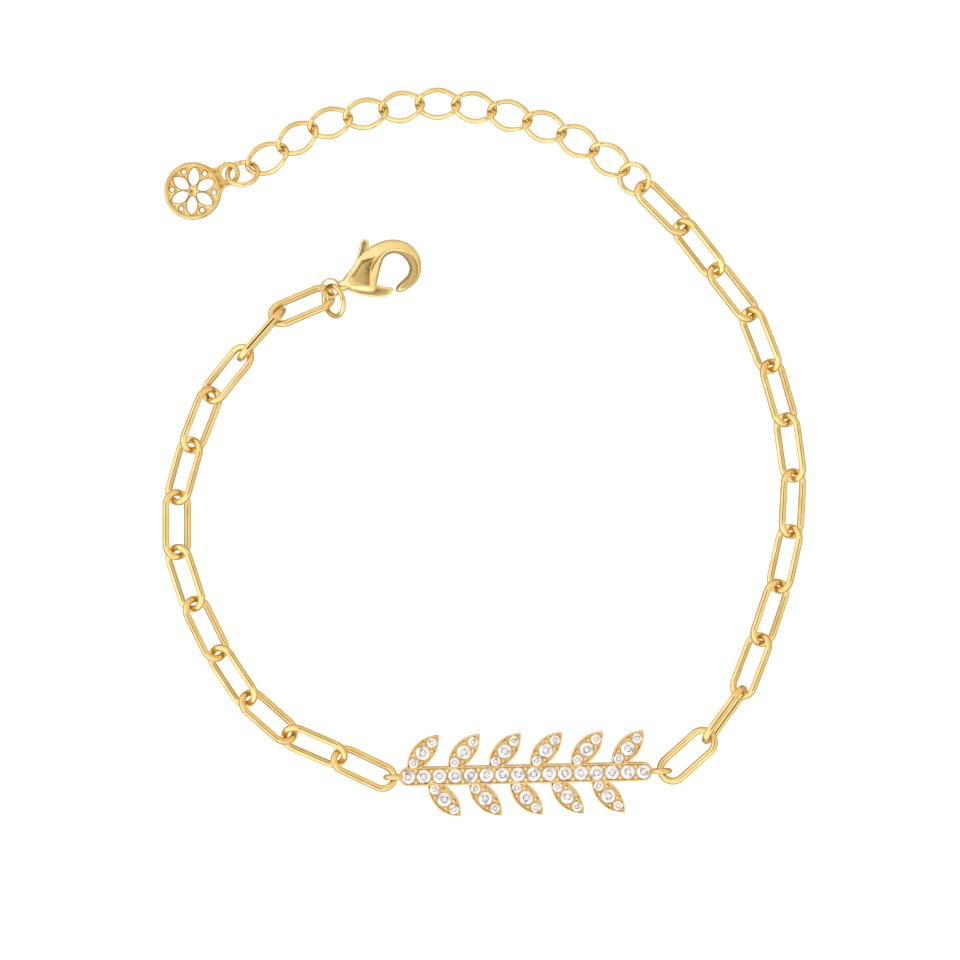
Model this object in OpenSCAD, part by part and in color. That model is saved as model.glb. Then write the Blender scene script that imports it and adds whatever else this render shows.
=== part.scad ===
// Paperclip chain bracelet with a stone-set front bar, lobster clasp and length extender.
// It lies flat: +Z is up, +X and +Y are the photograph's right and top. Millimetres.

/* [Long links] */
// Outer length of a long link
link_l = 7.1; // [6.9:0.1:7.3]
// Outer width of a long link
link_w = 3.15; // [3.05:0.05:3.3]
// Width of the link's wire in the plane of the link
wire_w = 0.66; // [0.5:0.02:0.68]
// Thickness of the link's wire across that plane
wire_t = 0.68; // [0.5:0.02:0.7]

/* [Extender] */
// Outer length of a twisted oval
oval_l = 4.75; // [4.7:0.05:4.85]
// Outer width of a twisted oval
oval_w = 3.3; // [3.2:0.05:3.4]
// Diameter of the round wire of the ovals
oval_wire = 0.5; // [0.4:0.02:0.52]
// Turn of each end of an oval out of its middle plane, in degrees
oval_twist = 40; // [38:1:44]
// Distance from one oval to the next
oval_step = 3.66; // [3.6:0.02:3.68]

/* [Plate] */
// Length of the stem of the front bar
stem_l = 25.4; // [25.2:0.1:25.6]
// Width of the stem
stem_w = 1.9; // [1.8:0.05:2]
// Height of the bar above the surface that it lies on
plate_h = 1.5; // [1.4:0.05:1.7]
// Length of a leaf from tip to tip
leaf_l = 4.8; // [4.6:0.1:5]
// Width of a leaf at its middle
leaf_w = 2.15; // [2.1:0.05:2.2]

/* [Stones] */
// Girdle diameter of a large stone
stone_d = 1.42; // [1.3:0.02:1.44]
// Girdle diameter of a small stone
small_d = 1; // [0.8:0.05:1]

/* [Clasp] */
// Thickness of the clasp's body
clasp_t = 2.4; // [2.3:0.05:2.6]
// Thickness of the lever between the cheeks
lever_t = 1.1; // [0.9:0.05:1.15]
// Radius of the lever's pin
pin_r = 0.35; // [0.3:0.01:0.36]

/* [Tag] */
// Outer diameter of the tag
tag_d = 5.8; // [5.6:0.1:6]
// Thickness of the tag's rim
tag_t = 0.8; // [0.7:0.05:0.9]

/* [Hidden] */
$fn = 40;
large_fn = 96;
gold = "#F0D080";

// Long links, counted from the plate outwards.
// Columns: heading of the link, distance to the next joint, roll about the heading, tilt,
// lift off the surface.
heading = 0;
step = 1;
roll = 2;
tilt = 3;
lift = 4;
right_start = [18.22, -32.21];
right_rows = [
    [42, 5.55, -10, 5, 0.85],
    [54, 5.55, 73.5, -0.5, 0.03],
    [69, 5.6, -36, -3, 0.19],
    [71.5, 5.65, 36.5, 0, 0],
    [77.5, 5.6, -38, 0, 0],
    [87, 5.6, 39, 0, 0],
    [98, 5.65, -38, 0, 0],
    [106, 5.55, 38, 0, 0],
    [111.5, 5.58, -38, 0, 0],
    [128, 5.6, 38, 0, 0],
    [128, 5.5, -38, 0, 0],
    [135, 5.35, 35.5, -1.7, 0.06],
];
left_start = [-9.58, -32.81];
left_rows = [
    [155, 5.45, 27, -3, 0.22],
    [156.5, 5.5, -31.5, 0, 0],
    [138.5, 5.5, 34, 0, 0],
    [123.5, 5.45, -32, 0, 0],
    [116, 5.45, 32, 0, 0],
    [108, 5.5, -32, 0, 0],
    [90, 5.45, 32, 0, 0],
    [74.5, 5.5, -34, 0, 0],
    [68.5, 5.25, 38, 0, 0],
    [51, 5.5, -36, 4, 0.2],
    [48.5, 4.9, 87, 0, 0],
    [23, 5.15, -33.8, -4.4, 0.18],
];

// Ovals of the extender, counted from the chain to the tag.
// Columns: heading to the next joint, swing of the oval away from it, lift off the surface.
swing = 1;
rise = 2;
oval_start = [14.02, 28.19];
oval_rows = [
    [146.5, 0, 0.12],
    [152, 0, 0],
    [161, 0, 0],
    [164, 0, 0],
    [169, 0, 0],
    [180, 0, 0],
    [189.5, 0, 0],
    [192.5, 0, 0],
    [196, 0, 0],
    [214, -2, 0],
    [214, -6.5, 0.04],
];

// Rings: outer diameter, wire, centre, heading and roll
chain_ring = [3.6, 0.52, [14.97, 27.31, 1.01], 132, -27.5];
tag_ring = [3.57, 0.5, [-24.18, 27.82, 1.25], 189.5, 40.5];
clasp_ring = [3.6, 0.52, [-15.06, 15.05, 2.23], 104.5, -52.3];

// Front bar: where its middle is and how far it is turned from +X
plate_at = [4.12, -32.21];
plate_turn = 1.3;
stem_stones = 16;
stem_pitch = 1.57;
leaf_slope = 47;
leaf_out = 2.34;
leaf_pitch = 4.1;
leaves_up = 6;
leaves_down = 5;
leaf_stone_pitch = 1.38;
loop_d = 2.2;
loop_wire = 0.56;
loop_reach = [13.2, 13.55];
seat_gap = 0.04;
seat_deep = 0.95;
girdle_deep = 0.05;
bead_r = 0.22;
bead_out = 0.56;
leaf_bead_r = 0.19;
leaf_bead_out = 0.55;
leaf_bead_along = 0.77;

// Clasp: where its middle is, and how far it leans onto the chain's last link
clasp_at = [-10.48, 18.39, 1.72];
clasp_lean = 7.2;
slot_t = lever_t + 0.2;
pivot = [-2.5, -1.5];
pin_fit = 0.01;
lever_fit = 0.05;
pin_sunk = 0.02;
hook_c = [1.4, 0.1];
hook_r = 2.79;
mouth_c = [1.5, -0.05];
mouth_r = 1.5;
eye_c = [-4.95, -2.05];
eye_r = 1.04;
eye_hole_r = 0.82;
eye_t = 0.95;
heel_c = [1.5, 0.32];
groove_c = [1.2, 0.1];
groove_r = 1.95;
dish_deep = 0.18;

// Tag
tag_at = [-29.18, 26.09];
tag_heading = 26;
tag_tip = 5;
tag_rim = 0.46;
tag_loop_d = 2.4;
tag_loop_wire = 0.5;
tag_loop_reach = 3.95;
web_t = 0.35;
petal_r = 1.1;
petal_half = 0.55;
petal_out = 1.42;
dot_d = 0.5;
dot_out = 2.12;
fillet_r = 1;

function two(i) = i < 10 ? str("0", i) : str(i);
LEFT = [for (i = [1:len(left_rows)]) str("link_left_", two(i))];
RIGHT = [for (i = [1:len(right_rows)]) str("link_right_", two(i))];
OVALS = [for (i = [1:len(oval_rows)]) str("extender_", two(i))];
RINGS = ["ring_chain", "ring_tag", "ring_clasp"];
REST = ["plate", "stones", "clasp_body", "clasp_lever", "clasp_pin", "tag"];

// A straight run of joints: where joint i is, from the first one and the rows before it
function along(angle) = [cos(angle), sin(angle)];
function joint(start, rows, i) =
    i == 0 ? start : joint(start, rows, i - 1) + rows[i - 1][step] * along(rows[i - 1][heading]);
function middle(start, rows, i) =
    joint(start, rows, i) + rows[i][step] / 2 * along(rows[i][heading]);

// Long link
bend_r = (link_w - wire_w) / 2;
straight = link_l - link_w;
edge_r = 0.22;
function rest_height(angle) =
    (bend_r + wire_w / 2 - edge_r) * abs(sin(angle))
    + (wire_t / 2 - edge_r) * abs(cos(angle)) + edge_r;

module wire_profile() {
    square([wire_w, wire_t - 2 * edge_r], center = true);
    square([wire_w - 2 * edge_r, wire_t], center = true);
    for (sx = [-1, 1], sy = [-1, 1])
        translate([sx * (wire_w / 2 - edge_r), sy * (wire_t / 2 - edge_r)])
            circle(edge_r);
}

module long_link() {
    for (side = [-1, 1]) {
        translate([side * straight / 2, 0, 0])
            rotate([0, 0, -side * 90])
                rotate_extrude(angle = 180)
                    translate([bend_r, 0])
                        wire_profile();
        translate([-straight / 2, side * bend_r, 0])
            rotate([90, 0, 90])
                linear_extrude(straight)
                    wire_profile();
    }
}

module chain_link(start, rows, i) {
    row = rows[i];
    at = middle(start, rows, i);
    color(gold)
        translate([at[0], at[1], rest_height(row[roll]) + row[lift]])
            rotate([0, -row[tilt], row[heading]])
                rotate([row[roll], 0, 0])
                    long_link();
}

// Twisted oval: two end arcs and two side arcs, each point turned about the long axis
// by its distance along it
oval_a = (oval_l - oval_wire) / 2;
oval_b = (oval_w - oval_wire) / 2;
oval_end_r = 1.02;
oval_x = oval_a - oval_end_r;
oval_side_r = (oval_x ^ 2 + oval_b ^ 2 - oval_end_r ^ 2) / (2 * (oval_b - oval_end_r));
oval_change = atan2(oval_side_r - oval_b, oval_x);
oval_rings = 20;
oval_sides = 6;
oval_z = 0.72;

function oval_point(u) =
    abs(sin(u)) <= sin(oval_change)
        ? [sign(cos(u)) * oval_x + oval_end_r * cos(u), oval_end_r * sin(u), 0]
        : [oval_side_r * cos(u), sign(sin(u)) * (oval_b - oval_side_r) + oval_side_r * sin(u), 0];
function twisted(p, v) =
    let (a = -oval_twist * p[0] / oval_a) [v[0], v[1] * cos(a), v[1] * sin(a)];
function unit(v) = v / norm(v);
function wire_ring(k) =
    let (
        u = 360 / oval_rings,
        p = oval_point(k * u),
        before = oval_point((k - 0.5) * u),
        after = oval_point((k + 0.5) * u),
        way = unit(twisted(after, after) - twisted(before, before)),
        out = twisted(p, [cos(k * u), sin(k * u), 0]),
        side = unit(out - (out * way) * way),
        up = cross(way, side)
    )
    [for (j = [0:oval_sides - 1])
        let (a = (j + 0.5) * 360 / oval_sides)
            twisted(p, p) + oval_wire / 2 * (cos(a) * side + sin(a) * up)];

module oval_link() {
    points = [for (k = [0:oval_rings - 1]) each wire_ring(k)];
    faces = [for (k = [0:oval_rings - 1], j = [0:oval_sides - 1])
        let (
            n = oval_sides,
            k2 = (k + 1) % oval_rings,
            j2 = (j + 1) % n
        )
        each [[k * n + j, k * n + j2, k2 * n + j2], [k * n + j, k2 * n + j2, k2 * n + j]]];
    polyhedron(points, faces);
}

module extender_link(i) {
    rows = [for (row = oval_rows) [row[heading], oval_step]];
    at = middle(oval_start, rows, i);
    color(gold)
        translate([at[0], at[1], oval_z + oval_rows[i][rise]])
            rotate([0, 0, oval_rows[i][heading] + oval_rows[i][swing]])
                oval_link();
}

module torus(d, wire) {
    rotate_extrude()
        translate([(d - wire) / 2, 0])
            circle(wire / 2);
}

module round_ring(ring) {
    color(gold)
        translate(ring[2])
            rotate([0, 0, ring[3]])
                rotate([ring[4], 0, 0])
                    torus(ring[0], ring[1]);
}

// Places on the front bar: each row is x, y and diameter of a stone, in the bar's own plane
function leaf_x(i, count) = (i - (count - 1) / 2) * leaf_pitch;
leaves = concat(
    [for (i = [0:leaves_up - 1]) [leaf_x(i, leaves_up), 1]],
    [for (i = [0:leaves_down - 1]) [leaf_x(i, leaves_down), -1]]
);
stem_places = [for (i = [0:stem_stones - 1]) [(i - (stem_stones - 1) / 2) * stem_pitch, 0, stone_d]];
leaf_places = [for (leaf = leaves, k = [-1:1])
    let (reach = k * leaf_stone_pitch)
        [leaf[0] + reach * cos(leaf_slope),
         leaf[1] * (leaf_out + reach * sin(leaf_slope)),
         k == 0 ? stone_d : small_d]];

module leaf_outline() {
    lens_r = (leaf_l ^ 2 + leaf_w ^ 2) / (4 * leaf_w);
    intersection() {
        translate([0, lens_r - leaf_w / 2]) circle(lens_r, $fn = large_fn);
        translate([0, leaf_w / 2 - lens_r]) circle(lens_r, $fn = large_fn);
    }
}

module on_plate() {
    translate([plate_at[0], plate_at[1], 0])
        rotate([0, 0, plate_turn])
            children();
}

module plate_metal() {
    linear_extrude(plate_h) {
        square([stem_l - stem_w, stem_w], center = true);
        for (side = [-1, 1])
            translate([side * (stem_l - stem_w) / 2, 0])
                circle(stem_w / 2);
        for (leaf = leaves)
            translate([leaf[0], leaf[1] * leaf_out])
                rotate(leaf[1] * leaf_slope)
                    leaf_outline();
    }
    for (side = [-1, 1])
        translate([side * loop_reach[(side + 1) / 2], 0, loop_d / 2])
            rotate([90, 0, 0])
                torus(loop_d, loop_wire);
}

module beads() {
    for (i = [0:stem_stones - 2], side = [-1, 1])
        translate([(stem_places[i][0] + stem_places[i + 1][0]) / 2, side * bead_out, plate_h])
            sphere(bead_r);
    for (leaf = leaves, k = [-1, 1], side = [-1, 1])
        translate([leaf[0], leaf[1] * leaf_out])
            rotate(leaf[1] * leaf_slope)
                translate([k * leaf_bead_along, side * leaf_bead_out, plate_h])
                    sphere(leaf_bead_r);
}

module plate() {
    color(gold)
        on_plate() {
            difference() {
                plate_metal();
                for (p = concat(stem_places, leaf_places))
                    translate([p[0], p[1], plate_h - seat_deep])
                        cylinder(h = seat_deep + 1, d = p[2] + 2 * seat_gap);
            }
            beads();
        }
}

// Round brilliant: a table, eight crown facets, a girdle and eight pavilion facets
module brilliant(d) {
    crown = 0.15 * d;
    table = 0.57 * d;
    girdle = 0.06;
    pavilion = 0.42 * d;
    culet = 0.06;
    cylinder(h = crown, d1 = d, d2 = table, $fn = 8);
    translate([0, 0, -girdle]) cylinder(h = girdle, d = d, $fn = 8);
    translate([0, 0, -girdle - pavilion]) cylinder(h = pavilion, d1 = culet, d2 = d, $fn = 8);
}

module stones() {
    color("white")
        on_plate()
            for (p = concat(stem_places, leaf_places))
                translate([p[0], p[1], plate_h - girdle_deep])
                    brilliant(p[2]);
}

// Clasp
module on_clasp() {
    translate(clasp_at)
        rotate([0, clasp_lean, 0])
            children();
}

module slab(t) {
    translate([0, 0, -t / 2])
        linear_extrude(t)
            children();
}

module claw_outline() {
    difference() {
        union() {
            polygon([
                [0.4, 2.7], [-0.5, 2.35], [-1.1, 2.0], [-2.1, 1.55], [-2.3, 1.1], [-2.85, 0.3],
                [-3.35, -0.5], [-3.6, -1.1], [-3.8, -1.3], [-3.8, -2.3], [-2.6, -2.45], [-0.45, -2.45],
                [0.2, -1.4],
            ]);
            intersection() {
                translate(hook_c) circle(hook_r, $fn = large_fn);
                translate(heel_c) circle(hook_r, $fn = large_fn);
            }
        }
        translate(mouth_c) circle(mouth_r, $fn = large_fn);
        polygon([
            [-0.35, -4], [-0.28, -1.65], [0.1, 0], [1.5, 0], [2.35, -1.18], [1.85, -1.6],
            [1.66, -1.9], [1.55, -2.25], [1.62, -2.4], [1.8, -2.48], [1.9, -4],
        ]);
    }
}

// What is sunk into each face: the dished middle of the body and the groove along the hook
module dish_outline() {
    polygon([
        [-3.19, -1.01], [-2.13, 0.55], [-0.63, 0.99], [-1.0, -0.08], [-1.13, -1.7], [-2.88, -1.58],
    ]);
}

module groove_outline() {
    difference() {
        intersection() {
            translate(heel_c) circle(hook_r - 0.42, $fn = large_fn);
            polygon([[1.5, 0.1], [2.6, 3], [5, 2], [5, -2], [3.2, -2.6], [1.95, -1.95]]);
        }
        translate(groove_c) circle(groove_r, $fn = large_fn);
    }
}

module lever_room() {
    polygon([
        [-3.4, -3.2], [-3.4, -0.4], [-4.4, 2.8], [-0.9, 2.8],
        [-0.9, 1.8], [-1.5, -0.4], [0.3, 0.2], [0.3, -3.2],
    ]);
}

module clasp_body() {
    color(gold)
        on_clasp()
            difference() {
                union() {
                    slab(clasp_t) claw_outline();
                    slab(eye_t)
                        polygon([
                            [-4.3, -1.25], [-3.95, -1.25], [-3.7, -1.1],
                            [-3.3, -1.3], [-3.3, -2.3], [-4.05, -2.4],
                        ]);
                    slab(eye_t) translate(eye_c) circle(eye_r);
                }
                slab(clasp_t) translate(eye_c) circle(eye_hole_r);
                slab(slot_t) lever_room();
                for (side = [0, 1])
                    mirror([0, 0, side])
                        translate([0, 0, clasp_t / 2 - dish_deep])
                            linear_extrude(1) {
                                dish_outline();
                                groove_outline();
                            }
                slab(clasp_t + 1) translate(pivot) circle(pin_r + pin_fit);
            }
}

module clasp_lever() {
    color(gold)
        on_clasp()
            difference() {
                slab(lever_t)
                    polygon([
                        [-3.1, -1.2], [-2.1, 1.6], [-1.95, 2.3], [-1.85, 2.7], [-1.7, 2.92],
                        [-1.45, 2.92], [-1.2, 2.65], [-1.1, 2.3], [-1.12, 1.8], [-1.8, -0.9],
                        [-1.65, -1.4], [-0.25, -1.75], [0.4, -1.88], [1.05, -1.92], [1.25, -2.0],
                        [1.38, -2.17], [1.27, -2.4], [1.05, -2.7], [0.65, -2.88], [-0.1, -2.97],
                        [-1.0, -2.9], [-2.0, -2.75], [-2.8, -2.45], [-3.14, -1.9],
                    ]);
                slab(lever_t + 1) translate(pivot) circle(pin_r + lever_fit);
            }
}

module clasp_pin() {
    color(gold)
        on_clasp()
            translate([pivot[0], pivot[1], 0])
                cylinder(h = clasp_t - 2 * pin_sunk, r = pin_r, center = true);
}

// Pierced tag: a raised rim round a thin web cut through in six petals and six dots,
// and its soldered loop
module tag() {
    web_r = tag_d / 2 - tag_rim;
    from_disc = tag_d / 2 + fillet_r;
    from_loop = tag_loop_d / 2 + fillet_r;
    fillet_x = (from_disc ^ 2 - from_loop ^ 2 + tag_loop_reach ^ 2) / (2 * tag_loop_reach);
    fillet_y = sqrt(from_disc ^ 2 - fillet_x ^ 2);
    far_edge = tag_d / 2 * sin(tag_tip) + tag_t / 2 * cos(tag_tip);
    color(gold)
        translate([tag_at[0], tag_at[1], far_edge])
            rotate([0, -tag_tip, tag_heading]) {
                difference() {
                    cylinder(h = tag_t, d = tag_d, center = true, $fn = large_fn);
                    translate([0, 0, web_t / 2]) cylinder(h = tag_t, r = web_r, $fn = large_fn);
                    translate([0, 0, -web_t / 2 - tag_t])
                        cylinder(h = tag_t, r = web_r, $fn = large_fn);
                    for (a = [0:60:300])
                        rotate([0, 0, a])
                            slab(tag_t)
                                intersection() {
                                    translate([petal_out, petal_r - petal_half]) circle(petal_r);
                                    translate([petal_out, petal_half - petal_r]) circle(petal_r);
                                }
                    for (a = [30:60:330])
                        rotate([0, 0, a])
                            slab(tag_t) translate([dot_out, 0]) circle(dot_d / 2);
                }
                translate([tag_loop_reach, 0, 0])
                    torus(tag_loop_d, tag_loop_wire);
                for (side = [-1, 1])
                    slab(tag_loop_wire)
                        difference() {
                            polygon([
                                [2.6, side * 0.4], [2.25, side * 1.4], [2.44, side * 1.56],
                                [3.59, side * 1.145], [3.25, side * 0.85],
                            ]);
                            translate([fillet_x, side * fillet_y]) circle(fillet_r);
                        }
            }
}

for (i = [0:len(LEFT) - 1])
    chain_link(left_start, left_rows, i);
for (i = [0:len(RIGHT) - 1])
    chain_link(right_start, right_rows, i);
for (i = [0:len(OVALS) - 1])
    extender_link(i);
round_ring(chain_ring);  // ring_chain
round_ring(tag_ring);  // ring_tag
round_ring(clasp_ring);  // ring_clasp
plate();
stones();
clasp_body();
clasp_lever();
clasp_pin();
tag();
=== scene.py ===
from math import atan2, cos, hypot, pi, radians, sin

import bmesh
import bpy
from mathutils import Matrix, Vector


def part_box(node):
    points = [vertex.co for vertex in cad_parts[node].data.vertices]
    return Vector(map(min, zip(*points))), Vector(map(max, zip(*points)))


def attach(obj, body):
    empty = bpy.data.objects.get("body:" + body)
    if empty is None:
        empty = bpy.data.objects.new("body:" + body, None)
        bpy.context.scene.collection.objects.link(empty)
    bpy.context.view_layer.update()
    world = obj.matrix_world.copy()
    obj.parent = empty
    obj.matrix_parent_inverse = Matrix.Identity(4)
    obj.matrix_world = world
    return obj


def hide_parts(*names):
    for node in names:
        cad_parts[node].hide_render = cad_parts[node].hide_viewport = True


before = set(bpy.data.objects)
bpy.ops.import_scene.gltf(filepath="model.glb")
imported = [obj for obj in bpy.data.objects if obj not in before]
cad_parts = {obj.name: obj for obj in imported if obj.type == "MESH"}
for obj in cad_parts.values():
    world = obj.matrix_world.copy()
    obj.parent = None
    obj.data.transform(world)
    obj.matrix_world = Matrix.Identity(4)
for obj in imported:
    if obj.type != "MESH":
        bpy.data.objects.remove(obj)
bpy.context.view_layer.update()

# ---- Long links ----
# Each is a paperclip link of silver wire, drawn nearly square with soft corners, bent round two
# pegs, soldered shut and gilded with a pale yellow gold that is tumbled bright. They hang in each
# other, every second one rolled the other way.
LINK_LONG, LINK_WIDE = 7.1, 3.15
LINK_WIRE = 0.66, 0.68
LINK_EDGE = 0.26
BEND_STEPS, RUN_STEPS = 14, 3
# The one link that lies flat has its wire standing on edge, as the others' does through their roll
EDGE_UP, LYING_FLAT = 42, 15
# Heading, roll and tilt of each link, counted from the front bar outwards
RIGHT_LAY = [
    (42, -10, 5), (54, 73.5, -0.5), (69, -36, -3), (71.5, 36.5, 0),
    (77.5, -38, 0), (87, 39, 0), (98, -38, 0), (106, 38, 0),
    (111.5, -38, 0), (128, 38, 0), (128, -38, 0), (135, 35.5, -1.7),
]
LEFT_LAY = [
    (155, 27, -3), (156.5, -31.5, 0), (138.5, 34, 0), (123.5, -32, 0),
    (116, 32, 0), (108, -32, 0), (90, 32, 0), (74.5, -34, 0),
    (68.5, 38, 0), (51, -36, 4), (48.5, 87, 0), (23, -33.8, -4.4),
]


def srgb(code):
    """The linear colour of an sRGB hex code."""
    shares = [int(code[i : i + 2], 16) / 255 for i in (1, 3, 5)]
    return [c / 12.92 if c < 0.04045 else ((c + 0.055) / 1.055) ** 2.4 for c in shares] + [1]


def blank_tree(owner):
    """The node tree of a material or of a world, emptied."""
    owner.use_nodes = True
    owner.node_tree.nodes.clear()
    return owner.node_tree


def add_node(tree, kind, sockets=(), stops=(), **settings):
    """A shader node with its settings and its stops of colour, if it has any, and its sockets
    linked or given their values."""
    node = tree.nodes.new(kind)
    for name, value in settings.items():
        setattr(node, name, value)
    if stops:
        ramp = node.color_ramp.elements
        ramp[0].position, ramp[0].color = stops[0]
        ramp[1].position, ramp[1].color = stops[-1]
        for at, tone in stops[1:-1]:
            ramp.new(at).color = tone
    for name, value in dict(sockets).items():
        if isinstance(value, bpy.types.NodeSocket):
            tree.links.new(value, node.inputs[name])
        else:
            node.inputs[name].default_value = value
    return node


# Most of a noise pattern lies between these two levels
NOISE_LOW, NOISE_HIGH = 0.3, 0.7


def gilding(name, pale, deep, rough, cloud_mm, ripple_mm, ripple_deep_mm, stretch=(1, 1, 1)):
    """Gold over silver: its colour drifts in soft clouds, and a fine ripple of the metal changes
    its gloss and bends what it mirrors."""
    metal = bpy.data.materials.new(name)
    tree = blank_tree(metal)
    spot = add_node(tree, "ShaderNodeTexCoord").outputs["Object"]
    grain = add_node(tree, "ShaderNodeMapping", {"Vector": spot, "Scale": stretch}).outputs[0]
    clouds = add_node(
        tree, "ShaderNodeTexNoise", {"Vector": spot, "Scale": 1000 / cloud_mm, "Detail": 2}
    )
    ripple = add_node(
        tree, "ShaderNodeTexNoise", {"Vector": grain, "Scale": 1000 / ripple_mm, "Detail": 2}
    )
    tones = [(NOISE_LOW, srgb(deep)), (NOISE_HIGH, srgb(pale))]
    tint = add_node(tree, "ShaderNodeValToRGB", {"Fac": clouds.outputs["Fac"]}, tones)
    gloss = add_node(
        tree,
        "ShaderNodeMapRange",
        {
            "Value": ripple.outputs["Fac"],
            "From Min": NOISE_LOW,
            "From Max": NOISE_HIGH,
            "To Min": rough[0],
            "To Max": rough[1],
        },
    )
    bump = add_node(
        tree,
        "ShaderNodeBump",
        {"Height": ripple.outputs["Fac"], "Distance": ripple_deep_mm / 1000, "Strength": 1},
    )
    shader = add_node(
        tree,
        "ShaderNodeBsdfPrincipled",
        {
            "Base Color": tint.outputs["Color"],
            "Metallic": 1,
            "Roughness": gloss.outputs["Result"],
            "Normal": bump.outputs["Normal"],
        },
    )
    add_node(tree, "ShaderNodeOutputMaterial", {"Surface": shader.outputs["BSDF"]})
    return metal


# Tumbled gilding: bright, with mirror lines that waver a little where the drawn wire isn't true
TUMBLED_GOLD = gilding("tumbled_gold_plating", "#F8DE9C", "#EDCA84", (0.05, 0.12), 1.6, 0.9, 0.004)


def turn(shape, angle, axis):
    """Turns a whole shape about an axis through the origin."""
    way = Matrix.Rotation(angle, 3, axis)
    bmesh.ops.rotate(shape, verts=shape.verts, cent=(0, 0, 0), matrix=way)


def shift(shape, by):
    """Moves a whole shape."""
    bmesh.ops.translate(shape, verts=shape.verts, vec=by)


def sweep(shape, loop, centre, angle, steps, slide=(0, 0, 0)):
    """Carries a loop of wire round a centre, or slides it where the angle is 0, and gives the loop
    at the end."""
    made = bmesh.ops.spin(
        shape,
        geom=loop,
        cent=centre,
        axis=(0, 0, 1),
        dvec=slide,
        angle=angle,
        steps=steps,
        use_merge=False,
    )
    return made["geom_last"]


def wire_loop(shape, wide, thick, edge, at, twist=0):
    """The cut end of a wire that is nearly square, standing in the XZ plane at a point, and twisted
    by some degrees."""
    corners = bmesh.ops.create_circle(shape, segments=4, radius=0.5**0.5)["verts"]
    turn(shape, pi / 4, "Z")
    bmesh.ops.scale(shape, verts=corners, vec=(wide, thick, 1))
    bmesh.ops.bevel(
        shape, geom=corners, offset=edge, affect="VERTICES", segments=4, profile=0.5, material=-1
    )
    turn(shape, radians(twist), "Z")
    turn(shape, pi / 2, "X")
    shift(shape, at)
    return shape.verts[:] + shape.edges[:]


def place(at, heading, roll=0, tilt=0):
    """Where a part lies: its middle in millimetres, and how it is turned."""
    return (
        Matrix.Translation(at)
        @ Matrix.Rotation(radians(heading), 4, "Z")
        @ Matrix.Rotation(radians(-tilt), 4, "Y")
        @ Matrix.Rotation(radians(roll), 4, "X")
    )


def middle(node):
    """The middle of a CAD node's box, in millimetres."""
    low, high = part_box(node)
    return (low + high) / 2 * 1000


# Points that lie closer together than this are made one
CLOSE = 0.001


def hand_in(name, shape, metal, nodes, lay, body="bracelet", crease=40):
    """Merges and closes a shape made in millimetres, lays it in its place, gives it its metal and
    its body, and hides the CAD nodes that it stands in for."""
    bmesh.ops.remove_doubles(shape, verts=shape.verts, dist=CLOSE)
    bmesh.ops.recalc_face_normals(shape, faces=shape.faces)
    bmesh.ops.transform(shape, matrix=Matrix.Scale(0.001, 4) @ lay, verts=shape.verts)
    mesh = bpy.data.meshes.new(name)
    shape.to_mesh(mesh)
    shape.free()
    mesh.shade_smooth()
    mesh.set_sharp_from_angle(angle=radians(crease))
    mesh.materials.append(metal)
    piece = bpy.data.objects.new(name, mesh)
    bpy.context.scene.collection.objects.link(piece)
    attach(piece, body)
    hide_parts(*nodes)


def long_link(twist):
    """One link, lying flat with its length along X, of wire twisted by some degrees."""
    shape = bmesh.new()
    bend = (LINK_WIDE - LINK_WIRE[0]) / 2
    run = LINK_LONG - LINK_WIDE
    loop = wire_loop(shape, *LINK_WIRE, LINK_EDGE, (bend, run / 2, 0), twist)
    for way in (1, -1):
        loop = sweep(shape, loop, (0, way * run / 2, 0), pi, BEND_STEPS)
        loop = sweep(shape, loop, (0, 0, 0), 0, RUN_STEPS, (0, -way * run / RUN_STEPS, 0))
    turn(shape, pi / 2, "Z")
    return shape


for side, lays in (("right", RIGHT_LAY), ("left", LEFT_LAY)):
    for count, (heading, roll, tilt) in enumerate(lays, 1):
        node = f"link_{side}_{count:02d}"
        lay = place(middle(node), heading, roll, tilt)
        link = long_link(EDGE_UP if abs(roll) < LYING_FLAT else 0)
        hand_in(f"{side}_long_link_{count:02d}", link, TUMBLED_GOLD, [node], lay)

# ---- Front bar ----
# A cast bar in the shape of a leafy branch: one straight stem and eleven pointed leaves set against
# it. Each has a raised rim round a sunk bed that holds the stones, and small beads of the same
# metal stand between them. A wire loop is soldered to each end. The casting is gilded.
BAR_AT, BAR_TURN = (4.12, -32.21, 0), 1.3
BAR_HIGH = 1.5
STEM_RIM, LEAF_RIM, BED_DEEP, BED_SLANT = 0.19, 0.15, 0.2, 0.03
# How far sharp edges of the casting are rounded off, and the angle in radians that makes one sharp
RIM_SOFT, RIM_CORNER = 0.07, 0.7
STEM_LONG, STEM_WIDE = 25.4, 1.9
STEM_STONES, STEM_PITCH = 16, 1.57
LEAF_LONG, LEAF_WIDE = 4.8, 2.15
LEAF_SLOPE, LEAF_OUT, LEAF_PITCH = 47, 2.34, 4.1
STEM_CORNERS, LEAF_STEPS = 32, 16
LEAVES_UP, LEAVES_DOWN = 6, 5
LEAF_STONE_PITCH = 1.38
LARGE_STONE, SMALL_STONE = 1.42, 1.0
STEM_BEAD, STEM_BEAD_OUT = 0.22, 0.56
LEAF_BEAD, LEAF_BEAD_OUT, LEAF_BEAD_ALONG = 0.19, 0.55, 0.77
BEAD_SUNK = 0.02
# The end loops: how far across, their wire, and how far out the left and the right one stand
BAR_LOOP, BAR_LOOP_WIRE, BAR_LOOP_REACH = 2.2, 0.54, (13.2, 13.55)
# How many sides a ring's round wire has, and how many steps go round the ring
WIRE_SIDES, RING_STEPS = 12, 48
# Gilding on metal that the setter has cut and pushed about: soft in gloss, and it glitters where
# it is uneven
SETTING_GOLD = gilding(
    "pave_setting_gold_plating", "#FBE3A8", "#F2C87F", (0.3, 0.48), 0.9, 0.4, 0.02
)


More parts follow.
